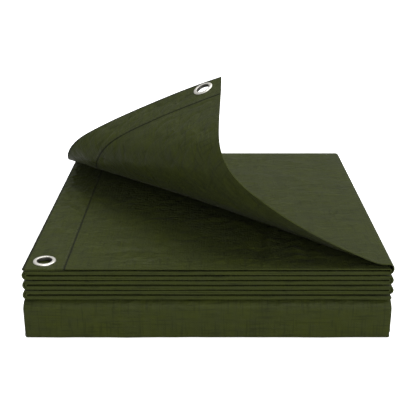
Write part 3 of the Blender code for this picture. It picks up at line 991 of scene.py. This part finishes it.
def makeStitches(name, lines, tree):
    mesh = bpy.data.meshes.new(name)
    points, edges = [], []
    for line in lines:
        first = len(points)
        points += [tuple(point) for point in line]
        edges += [(first + n, first + n + 1) for n in range(len(line) - 1)]
    mesh.from_pydata(points, edges, [])
    obj = newObject(name, mesh)
    modifier = obj.modifiers.new("Stitches", "NODES")
    modifier.node_group = tree
    sizes = {"Pitch": stitch["pitch"], "Stitch Length": stitch["length"], "Thread": stitch["thread"]}
    for item in tree.interface.items_tree:
        if item.in_out == "INPUT" and item.name in sizes:
            modifier[item.identifier] = sizes[item.name]
    frozen(obj)
    obj.data.polygons.foreach_set("use_smooth", [True] * len(obj.data.polygons))
    return obj


def seamLine(surface, side, stops):
    # points along the seam, on one face of the cloth
    offset = cloth["hem"] / 2 + stitch["thread"] * stitch["proud"]
    line = []
    for y in stops:
        place = surface(y)
        line.append(place.translation + place.col[2].xyz * offset * side)
    return line


def liftedSeamPlace(y):
    return surfaceFrame((cloth["hemWidth"] - stitch["inset"], y))


def underSeamPlace(y):
    height = cloth["top"] - cloth["hem"] / 2
    return Matrix.Translation(
        (cloth["left"] + cloth["hemWidth"] - stitch["inset"], y - halfDepth, height)
    )


canvasFinish = canvasMaterial()
metalFinish = metalMaterial()
threadFinish = threadMaterial()
print("materials ready")

foldedBody = makeFoldedBody()
underCloth = makeUnderPly()
liftedCloth = makeLiftedPly()
for piece in (foldedBody, underCloth, liftedCloth):
    piece.data.materials.clear()
    piece.data.materials.append(canvasFinish)
    print("cloth:", piece.name, len(piece.data.polygons), "faces")

liftedRing = makeEyelet("liftedEyelet", surfaceFrame(eyelet["liftedAt"]), metalFinish)
underRingPlace = Matrix.Translation((
    cloth["left"] + eyelet["underAt"][0], eyelet["underAt"][1] - halfDepth,
    cloth["top"] - cloth["hem"] / 2,
))
underRing = makeEyelet("underEyelet", underRingPlace, metalFinish)
print("eyelets turned")

stitches = stitchTree(threadFinish)
seamStops = np.linspace(stitch["start"], cloth["depth"] - stitch["end"], stitch["stops"])
liftedStitches = makeStitches(
    "liftedStitches",
    [seamLine(liftedSeamPlace, 1, seamStops), seamLine(liftedSeamPlace, -1, seamStops)],
    stitches,
)
underStitches = makeStitches(
    "underStitches", [seamLine(underSeamPlace, 1, seamStops)], stitches
)
print("seams stitched")

for piece, nodes in (
    (foldedBody, ["folded_cloth"]), (liftedCloth, ["lifted_ply", "lifted_hem"]),
    (underCloth, ["under_hem"]), (liftedRing, ["lifted_eyelet"]), (underRing, ["under_eyelet"]),
    (liftedStitches, []), (underStitches, []),
):
    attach(piece, "root")
    if nodes:
        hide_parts(*nodes)


# a white studio: the cloth is lit less by the floor and backdrop than they show
studio = {
    "floorLit": (0.55, 0.55, 0.55), "floorSeen": (0.92, 0.92, 0.92),
    "glowLit": (0.0, 0.0, 0.0), "glowSeen": (0.80, 0.80, 0.80), "seen": 1.0, "air": 0.36,
    "keyFrom": (0.20, 0.28, 1.0), "keyAngle": 55, "keyPower": 2.50,
    "fillFrom": (0.60, -1.5, 0.25), "fillAngle": 60, "fillPower": 3.00,
    "lens": 67.07, "pitch": 21.93, "away": 0.640, "above": 0.318, "side": 0.0001,
}


def makeFloor():
    bpy.ops.mesh.primitive_plane_add(size=30, location=(0, 0, -0.0005))
    floor = bpy.context.object
    floor.name = "studioFloor"
    finish = Finish("paleFloor")
    seen = finish.node("ShaderNodeLightPath").outputs["Is Camera Ray"]
    base = finish.blendColour(finish.value(seen), studio["floorLit"], studio["floorSeen"])
    glow = finish.blendColour(finish.value(seen), studio["glowLit"], studio["glowSeen"])
    finish.feed(finish.shader.inputs["Base Color"], base)
    finish.feed(finish.shader.inputs["Emission Color"], glow)
    finish.shader.inputs["Emission Strength"].default_value = 1.0
    finish.shader.inputs["Roughness"].default_value = 0.9
    finish.shader.inputs["Specular IOR Level"].default_value = 0.1
    floor.data.materials.append(finish.material)


def makeLight(name, origin, angle, power):
    data = bpy.data.lights.new(name, "SUN")
    data.angle, data.energy = math.radians(angle), power
    lamp = bpy.data.objects.new(name, data)
    bpy.context.scene.collection.objects.link(lamp)
    lamp.location = origin
    lamp.rotation_euler = Vector(origin).to_track_quat("Z", "Y").to_euler()


def makeStudio():
    makeFloor()
    makeLight("keyLight", studio["keyFrom"], studio["keyAngle"], studio["keyPower"])
    makeLight("frontFill", studio["fillFrom"], studio["fillAngle"], studio["fillPower"])
    world = bpy.data.worlds.new("studioAir")
    bpy.context.scene.world = world
    world.use_nodes = True
    nodes, links = world.node_tree.nodes, world.node_tree.links
    # the backdrop shows white, and lights the cloth less than it shows
    seen = nodes.new("ShaderNodeLightPath")
    strength = nodes.new("ShaderNodeMix")
    strength.inputs["A"].default_value = studio["air"]
    strength.inputs["B"].default_value = studio["seen"]
    links.new(seen.outputs["Is Camera Ray"], strength.inputs["Factor"])
    background = nodes["Background"]
    background.inputs["Color"].default_value = (1, 1, 1, 1)
    links.new(strength.outputs["Result"], background.inputs["Strength"])
    bpy.context.scene.view_settings.view_transform = "Standard"

    data = bpy.data.cameras.new("camera")
    data.lens = studio["lens"]
    camera = bpy.data.objects.new("camera", data)
    bpy.context.scene.collection.objects.link(camera)
    camera.location = (
        studio["side"], -halfDepth - studio["away"], cloth["top"] + studio["above"]
    )
    camera.rotation_euler = (math.radians(90 - studio["pitch"]), 0, 0)
    bpy.context.scene.camera = camera


makeStudio()
print("studio lit")
